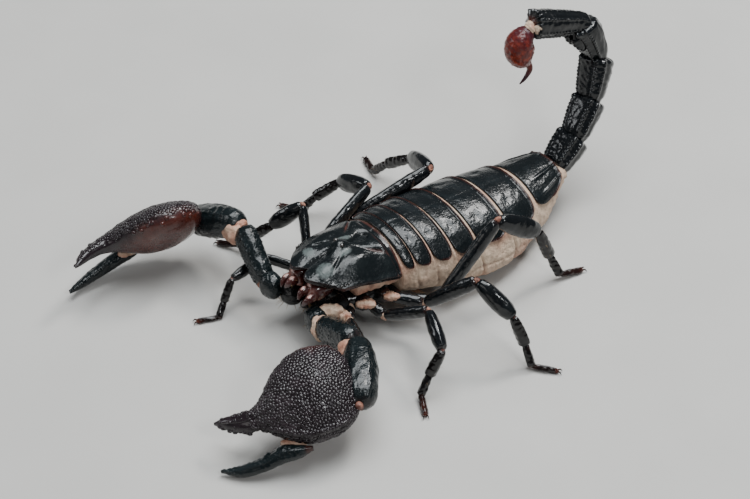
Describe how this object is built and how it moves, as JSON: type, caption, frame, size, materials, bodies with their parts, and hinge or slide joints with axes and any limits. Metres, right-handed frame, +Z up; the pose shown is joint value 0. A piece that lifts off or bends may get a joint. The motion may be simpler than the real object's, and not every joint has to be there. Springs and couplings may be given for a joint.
{
  "type": "scorpion",
  "caption": "Life-size still model of an adult emperor scorpion standing on its walking legs, claws forward and tail curled over its back.",
  "frame": {"origin": "middle of the bounding box, on the floor the feet stand on", "axes": "+Z up, the head faces -Y and the tail is towards +Y, the animal's left side is +X"},
  "size_m": [0.1014, 0.15, 0.0557],
  "materials": {
    "shell": "glossy blue-black chitin",
    "claw_shell": "granular maroon-black chitin",
    "mouth_shell": "smooth maroon chitin",
    "foot_shell": "dark red-brown chitin",
    "sting_shell": "red-amber granular chitin",
    "membrane": "matt wrinkled cream membrane",
    "eye": "polished black"
  },
  "bodies": {
    "root": {"carapace": "shell", "eye_left": "eye", "eye_right": "eye", "mesosoma": "membrane", "tergite_1": "shell", "tergite_2": "shell", "tergite_3": "shell", "tergite_4": "shell", "tergite_5": "shell", "tergite_6": "shell", "tergite_7": "shell", "sternites": "shell", "pecten_left": "membrane", "pecten_right": "membrane", "coxae": "shell", "chelicera_left": "mouth_shell", "chelicera_right": "mouth_shell", "metasoma_1": "shell", "metasoma_2": "shell", "metasoma_3": "shell", "metasoma_4": "shell", "metasoma_5": "shell", "telson": "sting_shell", "aculeus": "sting_shell", "palp_left_trochanter": "shell", "palp_left_femur": "shell", "palp_left_patella": "shell", "palp_left_hand": "claw_shell", "palp_left_finger": "shell", "palp_right_trochanter": "shell", "palp_right_femur": "shell", "palp_right_patella": "shell", "palp_right_hand": "claw_shell", "palp_right_finger": "shell", "leg_left_1_femur": "shell", "leg_left_1_patella": "shell", "leg_left_1_foot": "foot_shell", "leg_left_2_femur": "shell", "leg_left_2_patella": "shell", "leg_left_2_foot": "foot_shell", "leg_left_3_femur": "shell", "leg_left_3_patella": "shell", "leg_left_3_foot": "foot_shell", "leg_left_4_femur": "shell", "leg_left_4_patella": "shell", "leg_left_4_foot": "foot_shell", "leg_right_1_femur": "shell", "leg_right_1_patella": "shell", "leg_right_1_foot": "foot_shell", "leg_right_2_femur": "shell", "leg_right_2_patella": "shell", "leg_right_2_foot": "foot_shell", "leg_right_3_femur": "shell", "leg_right_3_patella": "shell", "leg_right_3_foot": "foot_shell", "leg_right_4_femur": "shell", "leg_right_4_patella": "shell", "leg_right_4_foot": "foot_shell"}
  },
  "joints": []
}
